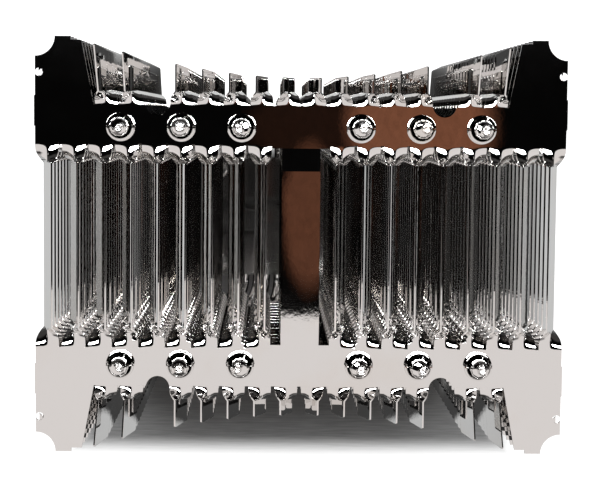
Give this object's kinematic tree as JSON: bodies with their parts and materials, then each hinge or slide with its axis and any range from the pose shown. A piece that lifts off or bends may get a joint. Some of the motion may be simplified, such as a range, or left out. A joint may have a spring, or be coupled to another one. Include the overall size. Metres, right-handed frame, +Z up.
{
  "type": "passive cpu cooler",
  "caption": "Passive tower heat sink for a processor: a flat base, U-bent heat pipes and a stack of louvred sheet fins with notched corner ears, cooled by rising air.",
  "frame": {"origin": "middle of the contact face, the flat underside of the base", "axes": "+Z up the tower, X along the long side of the fins, Y along the short side"},
  "size_m": [0.14, 0.11, 0.158],
  "materials": {
    "fin_sheet": "mirror nickel plate on thin sheet",
    "plated_pipe": "bright nickel plate on copper",
    "plated_base": "bright nickel plate on copper",
    "steel": "plated screw heads"
  },
  "bodies": {
    "root": {"fin_01": "fin_sheet", "fin_02": "fin_sheet", "fin_03": "fin_sheet", "fin_04": "fin_sheet", "fin_05": "fin_sheet", "fin_06": "fin_sheet", "fin_07": "fin_sheet", "fin_08": "fin_sheet", "fin_09": "fin_sheet", "fin_10": "fin_sheet", "fin_11": "fin_sheet", "fin_12": "fin_sheet", "fin_13": "fin_sheet", "fin_14": "fin_sheet", "fin_15": "fin_sheet", "heat_pipe_1": "plated_pipe", "heat_pipe_2": "plated_pipe", "heat_pipe_3": "plated_pipe", "heat_pipe_4": "plated_pipe", "heat_pipe_5": "plated_pipe", "heat_pipe_6": "plated_pipe", "base_plate": "plated_base", "base_cap": "plated_base", "cap_screws": "steel"}
  },
  "joints": []
}
